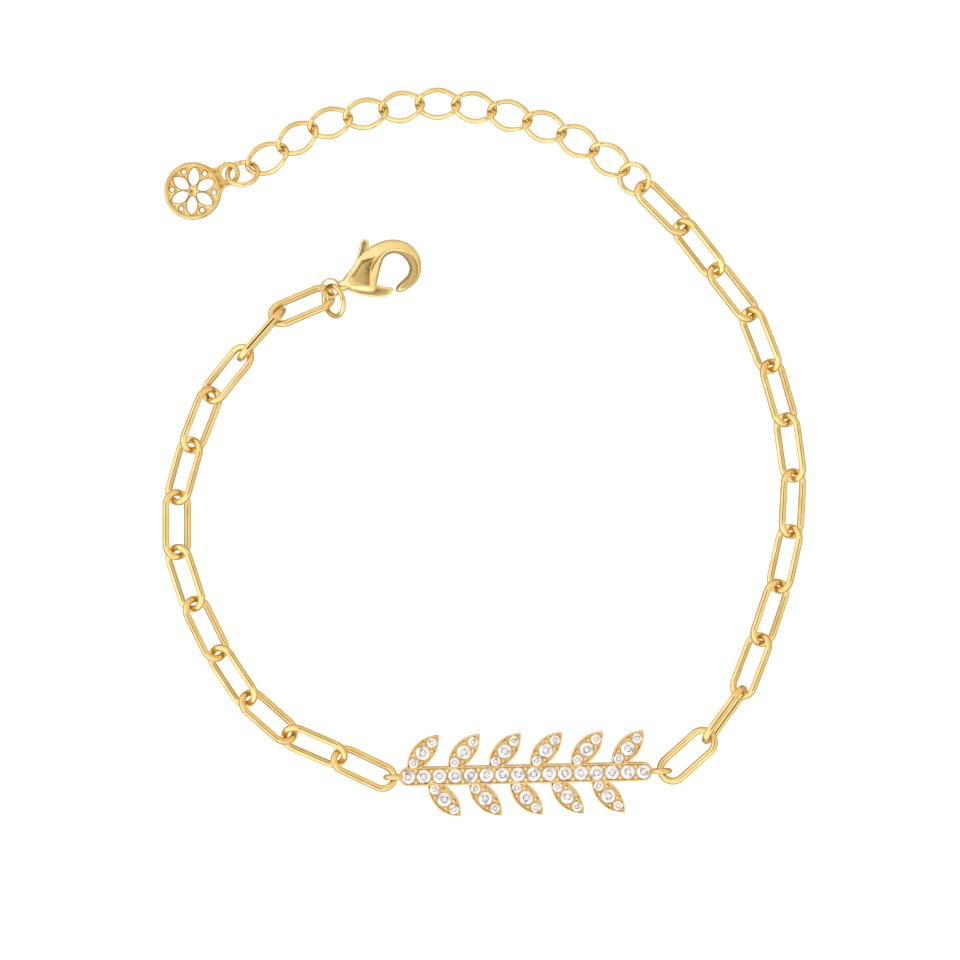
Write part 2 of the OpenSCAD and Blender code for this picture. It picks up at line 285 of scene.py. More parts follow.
def spaced(count, pitch):
    """Places along a line, even about its middle."""
    return [(i - (count - 1) / 2) * pitch for i in range(count)]


def stem_face(shape):
    """The stem's outline: a circle pulled apart into a long shape with round ends."""
    bmesh.ops.create_circle(shape, cap_ends=True, segments=STEM_CORNERS, radius=STEM_WIDE / 2)
    turn(shape, pi / STEM_CORNERS, "Z")
    for side in (-1, 1):
        half = [point for point in shape.verts if point.co.x * side > 0]
        bmesh.ops.translate(shape, verts=half, vec=(side * (STEM_LONG - STEM_WIDE) / 2, 0, 0))


def leaf_face(shape):
    """A leaf's outline, pointed at both ends: one arc of a circle and its mirror image."""
    bow = (LEAF_LONG**2 + LEAF_WIDE**2) / (4 * LEAF_WIDE)
    low = LEAF_WIDE / 2 - bow
    tip = shape.verts.new((-LEAF_LONG / 2, 0, 0))
    sweep(shape, [tip], (0, low, 0), -2 * atan2(LEAF_LONG / 2, -low), LEAF_STEPS)
    bmesh.ops.mirror(shape, geom=shape.verts[:] + shape.edges[:], axis="Y", merge_dist=CLOSE)
    bmesh.ops.contextual_create(shape, geom=shape.edges[:])


def thicken(shape, high):
    """Gives a flat shape its thickness: its faces are copied to a height, with walls between."""
    grown = bmesh.ops.extrude_face_region(shape, geom=shape.faces[:], use_keep_orig=True)["geom"]
    top = [point for point in grown if isinstance(point, bmesh.types.BMVert)]
    bmesh.ops.translate(shape, verts=top, vec=(0, 0, high))
    bmesh.ops.recalc_face_normals(shape, faces=shape.faces)


def top_face(shape):
    """The largest of the faces that look straight up."""
    level = [face for face in shape.faces if face.normal.z > 0.99]
    return max(level, key=lambda face: face.calc_area())


def level_edges(shape):
    """The edges that lie level."""
    return [edge for edge in shape.edges if abs(edge.verts[0].co.z - edge.verts[1].co.z) < 0.01]


def soften(shape, edges, by, segments):
    """Rounds edges off."""
    bmesh.ops.bevel(
        shape, geom=edges, offset=by, affect="EDGES", segments=segments, profile=0.5, material=-1
    )


def casting(face_maker, rim):
    """A flat outline cast to the bar's height, with a raised rim round a sunk bed."""
    shape = bmesh.new()
    face_maker(shape)
    thicken(shape, BAR_HIGH)
    for in_by, deep in ((rim, 0), (BED_SLANT, -BED_DEEP)):
        bmesh.ops.inset_region(
            shape, faces=[top_face(shape)], thickness=in_by, depth=deep, use_even_offset=True
        )
    corners = [
        edge
        for edge in level_edges(shape)
        if edge.verts[0].co.z != BAR_HIGH - BED_DEEP and edge.calc_face_angle() > RIM_CORNER
    ]
    soften(shape, corners, RIM_SOFT, 3)
    return shape


def add_to(whole, part, lay=Matrix()):
    """Puts a part, turned and moved, into a larger shape."""
    bmesh.ops.transform(part, matrix=lay, verts=part.verts)
    mesh = bpy.data.meshes.new("part")
    part.to_mesh(mesh)
    part.free()
    whole.from_mesh(mesh)
    bpy.data.meshes.remove(mesh)


def full_turn(shape, steps):
    """Carries a loop of wire once round the origin, where it meets its own start."""
    bmesh.ops.spin(
        shape,
        geom=shape.verts[:] + shape.edges[:],
        cent=(0, 0, 0),
        axis=(0, 0, 1),
        angle=2 * pi,
        steps=steps,
        use_merge=True,
    )


def round_ring(across, wire):
    """A ring of round wire, lying flat."""
    shape = bmesh.new()
    bmesh.ops.create_circle(shape, segments=WIRE_SIDES, radius=wire / 2)
    turn(shape, pi / 2, "X")
    shift(shape, ((across - wire) / 2, 0, 0))
    full_turn(shape, RING_STEPS)
    return shape


leaf_lays = [
    place((x, side * LEAF_OUT, 0), side * LEAF_SLOPE)
    for side, count in ((1, LEAVES_UP), (-1, LEAVES_DOWN))
    for x in spaced(count, LEAF_PITCH)
]
bar = casting(stem_face, STEM_RIM)
for lay in leaf_lays:
    add_to(bar, casting(leaf_face, LEAF_RIM), lay)
bead_lays = [
    (Matrix.Translation((x, side * STEM_BEAD_OUT, 0)), STEM_BEAD)
    for x in spaced(STEM_STONES - 1, STEM_PITCH)
    for side in (-1, 1)
] + [
    (lay @ Matrix.Translation((along * LEAF_BEAD_ALONG, side * LEAF_BEAD_OUT, 0)), LEAF_BEAD)
    for lay in leaf_lays
    for along in (-1, 1)
    for side in (-1, 1)
]
for lay, radius in bead_lays:
    seat = Matrix.Translation((0, 0, BAR_HIGH - BEAD_SUNK)) @ lay
    bmesh.ops.create_icosphere(bar, subdivisions=2, radius=radius, matrix=seat)
for side, reach in zip((-1, 1), BAR_LOOP_REACH):
    upright = Matrix.Translation((side * reach, 0, BAR_LOOP / 2)) @ Matrix.Rotation(pi / 2, 4, "X")
    add_to(bar, round_ring(BAR_LOOP, BAR_LOOP_WIRE), upright)
bar_lay = place(BAR_AT, BAR_TURN)
hand_in("front_bar", bar, SETTING_GOLD, ["plate"], bar_lay)

# ---- Stones ----
# Round brilliants of cubic zirconia, forty-nine of them: a flat table, eight star facets, eight
# kites and sixteen small facets down to the girdle, over a pavilion that ends in a point inside the
# bed. Each is turned by another angle, as stones lie that a setter drops into their seats.
TABLE, STARS, CROWN, GIRDLE, PAVILION = 0.28, 0.4, 0.15, 0.04, 0.38
STAR_HIGH = CROWN * (0.5 - STARS * cos(pi / 8)) / (0.5 - TABLE)
# How high the girdles lie, and by how many radians each stone is turned from the one before
STONE_HIGH, STONE_TURN = BAR_HIGH - 0.05, 0.7
# The table carries a painted star of reflection and shade, standing in for the pavilion seen
# through it: how wide its ring is, how far its middle goes
TABLE_RING, TABLE_MIDDLE = 0.09, 0.16
# How bright each facet is painted, as painted reflection and shade, one after the other: in the
# table's middle, in its ring, on the crown
PAINTED_MIDDLE_TONES = (0.95, 0.8, 0.95, 0.55)
PAINTED_RING_TONES = (0.0, 0.3, 0.1, 0.45)
PAINTED_CROWN_TONES = (1, 0.7, 0.92, 0.35, 0.85)
# Painted flecks of reflection, about half a millimetre across, shift the painted tones by their
# gain and level
FLECK_MM, FLECK_GAIN, FLECK_LEVEL = 0.45, 1.6, -0.74


def facet_glass():
    """Polished zirconia: hard and white, with painted reflection on its facets: greyer where the
    pavilion would show through, and flecked.
    """
    glass = bpy.data.materials.new("cut_zirconia_with_painted_facets")
    tree = blank_tree(glass)
    tone = add_node(tree, "ShaderNodeAttribute", attribute_name="painted_facet_light").outputs["Fac"]
    spot = add_node(tree, "ShaderNodeTexCoord").outputs["Object"]
    # Painted flecks of reflection, from a noise pattern
    painted_reflection_flecks = add_node(
        tree, "ShaderNodeTexNoise", {"Vector": spot, "Scale": 1000 / FLECK_MM, "Detail": 1}
    )
    uneven = add_node(
        tree,
        "ShaderNodeMath",
        {0: painted_reflection_flecks.outputs["Fac"], 1: FLECK_GAIN, 2: FLECK_LEVEL},
        operation="MULTIPLY_ADD",
    )
    both = add_node(tree, "ShaderNodeMath", {0: tone, 1: uneven.outputs[0]}, operation="ADD")
    # Painted reflection and shade: the facet tones run from grey-lilac to white
    tones = [(0, srgb("#93878E")), (0.4, srgb("#D3CFDA")), (0.85, srgb("#FAFBFF"))]
    tint = add_node(tree, "ShaderNodeValToRGB", {"Fac": both.outputs[0]}, tones)
    shader = add_node(
        tree,
        "ShaderNodeBsdfPrincipled",
        {"Base Color": tint.outputs["Color"], "Roughness": 0.04, "IOR": 2.15},
    )
    add_node(tree, "ShaderNodeOutputMaterial", {"Surface": shader.outputs["BSDF"]})
    return glass


def brilliant():
    """A stone one millimetre across, its girdle at height 0: the hull of its rings of corners, each
    facet given a painted tone of reflection and shade.
    """
    shape = bmesh.new()
    for segments, radius, high, angle in (
        (8, TABLE, CROWN, 0),
        (8, STARS, STAR_HIGH, pi / 8),
        (16, 0.5, 0, 0),
        (16, 0.5, -GIRDLE, 0),
    ):
        at = Matrix.Translation((0, 0, high)) @ Matrix.Rotation(angle, 4, "Z")
        bmesh.ops.create_circle(shape, segments=segments, radius=radius, matrix=at)
    shape.verts.new((0, 0, -GIRDLE - PAVILION))
    bmesh.ops.delete(shape, geom=shape.edges[:], context="EDGES_FACES")
    bmesh.ops.convex_hull(shape, input=shape.verts[:])
    bmesh.ops.dissolve_limit(shape, angle_limit=0.01, verts=shape.verts, edges=shape.edges)
    table = max(shape.faces, key=lambda face: face.calc_center_median().z)
    bmesh.ops.inset_region(shape, faces=[table], thickness=TABLE_RING, use_even_offset=True)
    bmesh.ops.poke(shape, faces=[table])
    # Each face gets a painted tone of reflection and shade, not a colour of the stone itself
    painted_facet_light = shape.faces.layers.float.new("painted_facet_light")
    for face in shape.faces:
        spot = face.calc_center_median()
        count = round(8 * atan2(spot.y, spot.x) / pi)
        if face.normal.z < 0.999:
            tones, count = PAINTED_CROWN_TONES, count + len(face.verts)
        else:
            tones = PAINTED_MIDDLE_TONES if hypot(spot.x, spot.y) < TABLE_MIDDLE else PAINTED_RING_TONES
            count //= 2
        face[painted_facet_light] = tones[count % len(tones)]
    return shape


stones = bmesh.new()
stone_lays = [(Matrix.Translation((x, 0, 0)), LARGE_STONE) for x in spaced(STEM_STONES, STEM_PITCH)]
for lay in leaf_lays:
    for along in (-1, 0, 1):
        across = LARGE_STONE if along == 0 else SMALL_STONE
        stone_lays.append((lay @ Matrix.Translation((along * LEAF_STONE_PITCH, 0, 0)), across))
for count, (lay, across) in enumerate(stone_lays):
    turned = Matrix.Rotation(count * STONE_TURN, 4, "Z") @ Matrix.Scale(across, 4)
    add_to(stones, brilliant(), Matrix.Translation((0, 0, STONE_HIGH)) @ lay @ turned)
hand_in("pave_stones", stones, facet_glass(), ["stones"], bar_lay, crease=5)

# ---- Extender ovals ----
# The eleven ovals of the length extender are bent from round wire and twisted a little along their
# length, as a curb chain is, so each lies nearly flat in its neighbours. They carry the same
# tumbled gilding as the links.
OVAL_WIRE, OVAL_WIRE_SIDES = 0.52, 10
OVAL_LONG, OVAL_WIDE = 4.75, 3.3
# The radius of the end arcs, and how many steps each of the four arcs has
OVAL_END, OVAL_STEPS = 1.12, 10
OVAL_TWIST = 40
OVAL_HEADING = [146.5, 152, 161, 164, 169, 180, 189.5, 192.5, 196, 212, 207.5]


def oval_link():
    """One oval: two end arcs joined by two flatter ones, then twisted along its length."""
    shape = bmesh.new()
    half, wide = (OVAL_LONG - OVAL_WIRE) / 2, (OVAL_WIDE - OVAL_WIRE) / 2
    end_x = half - OVAL_END
    # The radius of the flatter arcs, and the angle at which they take over from the end arcs
    flat = (end_x**2 + wide**2 - OVAL_END**2) / (2 * (wide - OVAL_END))
    change = atan2(flat - wide, end_x)
    bmesh.ops.create_circle(shape, segments=OVAL_WIRE_SIDES, radius=OVAL_WIRE / 2)
    turn(shape, pi / 2, "X")
    shift(shape, (end_x + OVAL_END, 0, 0))
    loop = shape.verts[:] + shape.edges[:]
    for centre, angle, steps in (
        ((end_x, 0, 0), change, OVAL_STEPS // 2),
        ((0, wide - flat, 0), pi - 2 * change, OVAL_STEPS),
        ((-end_x, 0, 0), 2 * change, OVAL_STEPS),
        ((0, flat - wide, 0), pi - 2 * change, OVAL_STEPS),
        ((end_x, 0, 0), change, OVAL_STEPS // 2),
    ):
        loop = sweep(shape, loop, centre, angle, steps)
    for point in shape.verts:
        way = Matrix.Rotation(-radians(OVAL_TWIST) * point.co.x / half, 3, "X")
        bmesh.ops.rotate(shape, verts=[point], cent=(0, 0, 0), matrix=way)
    return shape


for count, heading in enumerate(OVAL_HEADING, 1):
    node = f"extender_{count:02d}"
    lay = place(middle(node), heading)
    hand_in(f"extender_oval_{count:02d}", oval_link(), TUMBLED_GOLD, [node], lay)

# ---- Jump rings ----
# Three plain rings of round wire join the chain to the extender, the extender to the tag and the
# chain to the clasp. Their ends are butted and soldered.
RINGS = {  # outer diameter, wire, heading, roll
    "chain": (3.6, 0.52, 132, -27.5),
    "tag": (3.57, 0.5, 189.5, 40.5),
    "clasp": (3.6, 0.52, 104.5, -52.3),
}

for ring, (across, wire, heading, roll) in RINGS.items():
    node = f"ring_{ring}"
    lay = place(middle(node), heading, roll)
    hand_in(f"{ring}_jump_ring", round_ring(across, wire), TUMBLED_GOLD, [node], lay)

# ---- Tag ----
# A small round tag closes the extender: a raised rim round a thin web that is pierced in a plain
# rosette of six petals with a round hole between each two. Each opening has a fine raised edge. The
# tag is cast in one with its loop, and gilded.
TAG_AT, TAG_HEADING, TAG_TIP = (-29.18, 26.09), 26, 5
TAG_ACROSS, TAG_THICK, TAG_RIM = 5.8, 0.8, 0.5
RIM_SIDES, RIM_STEPS = 16, 80
WEB_THICK, WEB_EDGE, WEB_RAISED, WEB_CORNERS = 0.35, 0.06, 0.075, 64
PETAL_BOW, PETAL_HALF, PETAL_OUT, PETAL_STEPS = 1.1, 0.55, 1.42, 12
DOT, DOT_OUT, DOT_CORNERS = 0.5, 2.12, 12
TAG_LOOP, TAG_LOOP_REACH = 2.4, 3.95
# The loop's wire is a little flat, and built up from three: how far across, how thick, how high
LOOP_WIRES = [(TAG_LOOP, 0.36, 0), (TAG_LOOP - 0.5, 0.26, 0.05), (TAG_LOOP - 0.5, 0.26, -0.05)]
FILLET, FILLET_THICK, FILLET_SOFT, FILLET_STEPS = 1.0, 0.5, 0.1, 8
# Where the fillet's hidden corners are: how far from the tag's middle, and from its middle line
FILLET_BACK = [(TAG_LOOP_REACH - TAG_LOOP / 2, 0.2), (TAG_ACROSS / 2 - 0.35, 0.5)]
# Cast gilding polished by hand: softer than the wire's, with the shallow unevenness of a wax model
CAST_GOLD = gilding("cast_gold_plating", "#F4DB99", "#DDB568", (0.24, 0.34), 1.2, 0.5, 0.004)


def web_place(out, angle):
    """A place on the front of the web, so far out and at an angle."""
    return Matrix.Rotation(angle, 4, "Z") @ Matrix.Translation((out, 0, WEB_THICK / 2))


def petal():
    """The edge of one petal-shaped opening, its length along X."""
    part = bmesh.new()
    low = PETAL_HALF - PETAL_BOW
    half = (PETAL_BOW**2 - low**2) ** 0.5
    tip = part.verts.new((-half, 0, 0))
    sweep(part, [tip], (0, low, 0), -2 * atan2(half, -low), PETAL_STEPS)
    bmesh.ops.mirror(part, geom=part.verts[:] + part.edges[:], axis="Y", merge_dist=CLOSE)
    return part


def fillet(side):
    """The solder-smooth corner where the rim runs into the loop."""
    part = bmesh.new()
    rim, loop = TAG_ACROSS / 2, TAG_LOOP / 2
    x = ((rim + FILLET) ** 2 - (loop + FILLET) ** 2 + TAG_LOOP_REACH**2) / (2 * TAG_LOOP_REACH)
    y = ((rim + FILLET) ** 2 - x**2) ** 0.5
    start = Vector((x, y, 0)) * rim / (rim + FILLET)
    end = Vector((TAG_LOOP_REACH, 0, 0)).lerp(Vector((x, y, 0)), loop / (loop + FILLET))
    bow = atan2(end.y - y, end.x - x) - atan2(start.y - y, start.x - x)
    first = part.verts.new(start)
    last = sweep(part, [first], (x, y, 0), bow % (2 * pi), FILLET_STEPS)[0]
    hidden = [part.verts.new((*spot, 0)) for spot in FILLET_BACK]
    for pair in ((last, hidden[0]), hidden, (hidden[1], first)):
        part.edges.new(pair)
    bmesh.ops.contextual_create(part, geom=part.edges[:])
    thicken(part, FILLET_THICK)
    shift(part, (0, 0, -FILLET_THICK / 2))
    soften(part, part.edges[:], FILLET_SOFT, 2)
    bmesh.ops.scale(part, verts=part.verts, vec=(1, side, 1))
    return part


tag = bmesh.new()
bmesh.ops.create_circle(
    tag, segments=WEB_CORNERS, radius=(TAG_ACROSS - TAG_RIM) / 2, matrix=web_place(0, 0)
)
for sixth in range(6):
    add_to(tag, petal(), web_place(PETAL_OUT, sixth * pi / 3))
    hole = web_place(DOT_OUT, (sixth + 0.5) * pi / 3)
    bmesh.ops.create_circle(tag, segments=DOT_CORNERS, radius=DOT / 2, matrix=hole)
cuts = tag.edges[:]
bmesh.ops.triangle_fill(tag, edges=cuts, use_beauty=True, normal=(0, 0, 1))
walls = bmesh.ops.extrude_edge_only(tag, edges=cuts)["geom"]
sunk = [point for point in walls if isinstance(point, bmesh.types.BMVert)]
bmesh.ops.translate(tag, verts=sunk, vec=(0, 0, -WEB_THICK))
# The front gets a raised edge round each opening, and the back is its mirror image
skin = [face for face in tag.faces if abs(face.normal.z) > 0.9]
for rise in (WEB_RAISED, -WEB_RAISED):
    bmesh.ops.inset_region(tag, faces=skin, thickness=WEB_EDGE, use_even_offset=True)
    inner = {point for face in skin for point in face.verts}
    bmesh.ops.translate(tag, verts=list(inner), vec=(0, 0, rise))
skin = [face for face in tag.faces if face.calc_center_median().z > WEB_THICK / 2 - 0.01]
bmesh.ops.mirror(tag, geom=skin, axis="Z", merge_dist=CLOSE)
rim = bmesh.new()
bmesh.ops.create_circle(rim, segments=RIM_SIDES, radius=0.5)
turn(rim, pi / 2, "X")
bmesh.ops.scale(rim, verts=rim.verts, vec=(TAG_RIM, 1, TAG_THICK))
shift(rim, ((TAG_ACROSS - TAG_RIM) / 2, 0, 0))
full_turn(rim, RIM_STEPS)
add_to(tag, rim)
for across, wire, high in LOOP_WIRES:
    add_to(tag, round_ring(across, wire), Matrix.Translation((TAG_LOOP_REACH, 0, high)))
for side in (-1, 1):
    add_to(tag, fillet(side))
# The loop's side of the tag is tipped up, and the low edge of its rim stands on the sheet
tip = radians(TAG_TIP)
tag_high = TAG_ACROSS / 2 * sin(tip) + TAG_THICK / 2 * cos(tip)
tag_lay = place((*TAG_AT, tag_high), TAG_HEADING, 0, TAG_TIP)
hand_in("pierced_tag", tag, CAST_GOLD, ["tag"], tag_lay, crease=65)

# ---- Clasp body ----
# A cast lobster clasp: a hollow cheeked body that runs on into the hook, with a broad crowned back,
# a hollow in each cheek and a channel along each side of the hook. Its finish is satin, from fine
# wire brushing.
CLASP_AT, CLASP_LEAN = (-10.48, 18.39, 1.72), 7.2
# Sections from the hook's tip to the tail: where they meet the outer and the inner edge, half their
# thickness, and how far across they are highest
CLASP_SECTIONS = [
    ((1.66, -2.38), (1.60, -2.12), 0.36, 0.50),
    ((1.85, -2.47), (1.66, -1.88), 0.62, 0.46),
    ((2.28, -2.44), (1.88, -1.60), 0.88, 0.40),
    ((2.80, -2.17), (2.24, -1.29), 1.00, 0.34),
    ((3.42, -1.74), (2.62, -0.94), 1.06, 0.32),
    ((3.86, -1.24), (2.86, -0.64), 1.10, 0.32),
    ((4.10, -0.62), (2.99, -0.26), 1.12, 0.34),
    ((4.20, 0.10), (3.00, 0.06), 1.14, 0.38),
    ((4.12, 0.80), (2.90, 0.42), 1.15, 0.45),
    ((3.84, 1.52), (2.68, 0.80), 1.16, 0.52),
    ((3.36, 2.12), (2.38, 1.12), 1.17, 0.60),
    ((2.72, 2.58), (2.00, 1.36), 1.18, 0.66),
    ((1.98, 2.82), (1.60, 1.45), 1.18, 0.70),
    ((1.24, 2.88), (1.18, 1.42), 1.18, 0.72),
    ((0.54, 2.78), (0.78, 1.28), 1.18, 0.72),
    ((-0.12, 2.56), (0.42, 0.98), 1.18, 0.72),
    ((-0.72, 2.24), (0.20, 0.52), 1.18, 0.71),
    ((-1.28, 1.92), (0.09, -0.04), 1.18, 0.69),
    ((-1.86, 1.60), (-0.02, -0.66), 1.18, 0.67),
    ((-2.32, 1.06), (-0.16, -1.22), 1.18, 0.66),
    ((-2.70, 0.52), (-0.26, -1.92), 1.18, 0.66),
    ((-3.02, 0.02), (-0.36, -2.72), 1.18, 0.66),
    ((-3.30, -0.44), (-1.50, -2.60), 1.17, 0.64),
    ((-3.54, -0.92), (-2.40, -2.50), 1.12, 0.60),
    ((-3.76, -1.24), (-3.20, -2.32), 0.90, 0.56),
    ((-3.98, -1.28), (-3.74, -2.34), 0.60, 0.52),
    ((-4.20, -1.30), (-4.10, -2.36), 0.46, 0.50),
]
# The hollow in each cheek: its outline, how high its wall begins to lean in, and the steps from
# there to the middle of its floor, each so far in and so much deeper
HOLLOW = [
    (-3.36, -1.1), (-2.25, 0.68), (-0.52, 1.12), (-0.97, -0.08), (-1.05, -1.9), (-3.08, -1.78),
]
HOLLOW_EDGE, HOLLOW_DISH = 1.04, [(0.03, 0.14), (0.04, 0.04), (0.2, 0.02), (0.3, 0.01)]
# The channel along each side of the hook: its middle, its two radii, the angles of its ends, and
# how high its floor is
CHANNEL_AT, CHANNEL_REACH, CHANNEL_ENDS = (1.82, -0.25), (1.1, 1.9), (150, -84)
CHANNEL_FLOOR, CHANNEL_STEPS = 0.75, 40
CUTTER_HIGH = 1
# How far the cheeks stand apart, and the outline of the slot between them
CHEEK_ROOM = 1.24
LEVER_ROOM = [
    (-3.4, -3.2), (-3.4, -0.4), (-4.4, 2.8), (-0.9, 2.8),
    (-0.9, 1.8), (-1.5, -0.4), (0.3, 0.2), (0.3, -3.2),
]
# The eye at the tail, where the jump ring hangs
EYE_AT, EYE_OUTER, EYE_WALL, EYE_THICK = (-4.95, -2.05), 1.04, 0.22, 0.95
EYE_SOFT, EYE_STEPS = 0.08, 40
# The pin that the lever turns on, and how much wider and longer its bore is
PIVOT, PIN_ACROSS, PIN_LONG, PIN_ROOM = (-2.5, -1.5), 0.7, 1.4, 0.01
PIN_CORNERS = 32
# Brushed gilding: fine hair lines along the clasp spread each highlight into a soft sheen. Real
# lines are about 0.03 mm apart, and they are drawn at 0.1 mm so that they show
SATIN_GOLD = gilding(
    "brushed_gold_plating", "#FCE9AE", "#F5D99A", (0.2, 0.28), 1.4, 0.35, 0.0007, (0.35, 1.8, 1.0)
)


def across_section(outer, inner, half, crest):
    """The points round one section of the clasp: over the front from the outer edge, and back
    underneath."""
    # The front, as shares of the way across and of the section's height
    front = [
        (0, 0), (0.01, 0.38), (0.13 * crest, 0.62), (0.38 * crest, 0.81), (0.76 * crest, 0.95),
        (crest, 1), (0.7 * crest + 0.3, 0.93), (0.3 * crest + 0.7, 0.74), (0.99, 0.38), (1, 0),
    ]
    edge, span = Vector((*outer, 0)), Vector((inner[0] - outer[0], inner[1] - outer[1], 0))
    points = [edge + span * share + Vector((0, 0, half * high)) for share, high in front]
    back = [Vector((p.x, p.y, -p.z)) for p in points[-2:0:-1]]
    return points + back + points[:1]


def flat_part(outline, thick):
    """A flat plate of an outline, its middle at height 0."""
    part = bmesh.new()
    part.faces.new([part.verts.new((x, y, -thick / 2)) for x, y in outline])
    thicken(part, thick)
    return part


def channel_cutter(thick):
    """What the channel of the hook is milled with: part of a ring, its middle at height 0."""
    part = bmesh.new()
    start, end = (radians(angle) for angle in CHANNEL_ENDS)
    points = [part.verts.new((out * cos(start), out * sin(start), 0)) for out in CHANNEL_REACH]
    sweep(part, points + [part.edges.new(points)], (0, 0, 0), end - start, CHANNEL_STEPS)
    shift(part, (*CHANNEL_AT, -thick / 2))
    thicken(part, thick)
    return part


def round_bar(across, long):
    """A round bar standing at the clasp's pivot: the pin, or the drill for its bore."""
    rod = bmesh.new()
    radius = across / 2
    bmesh.ops.create_cone(
        rod, cap_ends=True, segments=PIN_CORNERS, radius1=radius, radius2=radius, depth=long
    )
    shift(rod, (*PIVOT, 0))
    return rod


def on_bench(name, shape):
    """A shape as an object of its own, while it is being worked."""
    mesh = bpy.data.meshes.new(name)
    shape.to_mesh(mesh)
    shape.free()
    thing = bpy.data.objects.new(name, mesh)
    bpy.context.scene.collection.objects.link(thing)
    return thing


def cut(shape, saw, rounds=0):
    """Rounds a cast shape where it is asked to, and cuts another out of it."""
    blank, blade = on_bench("blank", shape), on_bench("blade", saw)
    if rounds:
        round_off = blank.modifiers.new("round_off", "SUBSURF")
        round_off.levels = round_off.render_levels = rounds
    slot = blank.modifiers.new("slot", "BOOLEAN")
    slot.object, slot.operation, slot.solver = blade, "DIFFERENCE", "EXACT"
    ready = blank.evaluated_get(bpy.context.evaluated_depsgraph_get())
    mesh = bpy.data.meshes.new_from_object(ready)
    result = bmesh.new()
    result.from_mesh(mesh)
    for thing in (blank, blade):
        bpy.data.objects.remove(thing)
    return result


claw = bmesh.new()
sections = [across_section(*section) for section in CLASP_SECTIONS]
skin = bmesh.ops.create_grid(
    claw, x_segments=len(sections[0]) - 1, y_segments=len(sections) - 1, size=1
)["verts"]
for point, spot in zip(skin, (spot for section in sections for spot in section)):
    point.co = spot
bmesh.ops.remove_doubles(claw, verts=claw.verts, dist=CLOSE)
bmesh.ops.holes_fill(claw, edges=claw.edges, sides=0)
bmesh.ops.recalc_face_normals(claw, faces=claw.faces)
saw = flat_part(LEVER_ROOM, CHEEK_ROOM)
for side in (-1, 1):
    hollow = flat_part(HOLLOW, CUTTER_HIGH)
    bottom = [face for face in hollow.faces if face.normal.z < -0.9]
    for in_by, deeper in HOLLOW_DISH:
        bmesh.ops.inset_region(
            hollow, faces=bottom, thickness=in_by, depth=deeper, use_even_offset=True
        )
    bmesh.ops.poke(hollow, faces=bottom)
    channel = channel_cutter(CUTTER_HIGH)
    for cutter, floor_high in ((hollow, HOLLOW_EDGE), (channel, CHANNEL_FLOOR)):
        raised = Matrix.Translation((0, 0, floor_high + CUTTER_HIGH / 2))
        add_to(saw, cutter, Matrix.Scale(side, 4, (0, 0, 1)) @ raised)
bmesh.ops.recalc_face_normals(saw, faces=saw.faces)
# The bore is drilled after the slot is sawn, because one cutter may not lie in another
claw = cut(cut(claw, saw, rounds=2), round_bar(PIN_ACROSS + PIN_ROOM, PIN_LONG + PIN_ROOM))
tail_eye = bmesh.new()
wire_loop(tail_eye, EYE_WALL, EYE_THICK, EYE_SOFT, (EYE_OUTER - EYE_WALL / 2, 0, 0))
full_turn(tail_eye, EYE_STEPS)
add_to(claw, tail_eye, Matrix.Translation((*EYE_AT, 0)))
clasp_lay = place(CLASP_AT, 0, 0, -CLASP_LEAN)
hand_in("clasp_claw", claw, SATIN_GOLD, ["clasp_body"], clasp_lay, crease=35)

# ---- Clasp lever and pin ----
# The lever is one flat casting with softened edges: a thumb nub above, a gate that closes the hook
# below. It turns between the cheeks on a short pin, whose ends sit in a bore of each.
LEVER_THICK, LEVER_SOFT, PIN_SOFT = 1.1, 0.16, 0.08
# The gate's end, and how much thinner the lever gets with each millimetre from there to the tail.
# That lays its face nearer to level than the clasp, which leans
LEVER_TIP, LEVER_TAPER = 1.38, 0.08
LEVER_OUTLINE = [
    (-3.1, -1.2), (-2.1, 1.6), (-1.95, 2.3), (-1.87, 2.6), (-1.72, 2.81),
    (-1.5, 2.88), (-1.28, 2.78), (-1.1, 2.5), (-1.07, 2.2), (-1.12, 1.8),
    (-1.8, -0.9), (-1.65, -1.4), (-0.25, -1.75), (0.4, -1.88), (1.05, -1.92),
    (1.25, -2.0), (1.38, -2.17), (1.27, -2.4), (1.05, -2.7), (0.65, -2.88),
    (-0.1, -2.97), (-1.0, -2.9), (-2.0, -2.75), (-2.8, -2.45), (-3.14, -1.9),
]

lever = flat_part(LEVER_OUTLINE, LEVER_THICK)
soften(lever, level_edges(lever), LEVER_SOFT, 4)
for point in lever.verts:
    point.co.z *= 1 - LEVER_TAPER * (LEVER_TIP - point.co.x)
lever = cut(lever, round_bar(PIN_ACROSS + PIN_ROOM, CHEEK_ROOM))
hand_in("clasp_lever_gate", lever, SATIN_GOLD, ["clasp_lever"], clasp_lay, body="lever", crease=50)

pin = round_bar(PIN_ACROSS, PIN_LONG)
soften(pin, level_edges(pin), PIN_SOFT, 2)
hand_in("clasp_rivet", pin, SATIN_GOLD, ["clasp_pin"], clasp_lay)

# ---- Studio ----
# A sheet of opal white acrylic lies under the bracelet, a bright soft tent stands round it, and a
# long lens looks straight down.
# How much the picture shows from side to side, where its middle is, and how far off the lens is
PHOTO_ACROSS, AIM, LENS_AWAY = 96, Vector((-0.46, -2.81, 0.9)), 650
# Half the side of the sheet, in metres, and how strongly it glows
SHEET_HALF, SHEET_GLOW = 1.5, 0.85

sheet = bmesh.new()
bmesh.ops.create_grid(sheet, x_segments=1, y_segments=1, size=SHEET_HALF)
floor_mesh = bpy.data.meshes.new("white_sheet")
sheet.to_mesh(floor_mesh)
sheet.free()
floor = bpy.data.objects.new("white_sheet", floor_mesh)
bpy.context.scene.collection.objects.link(floor)
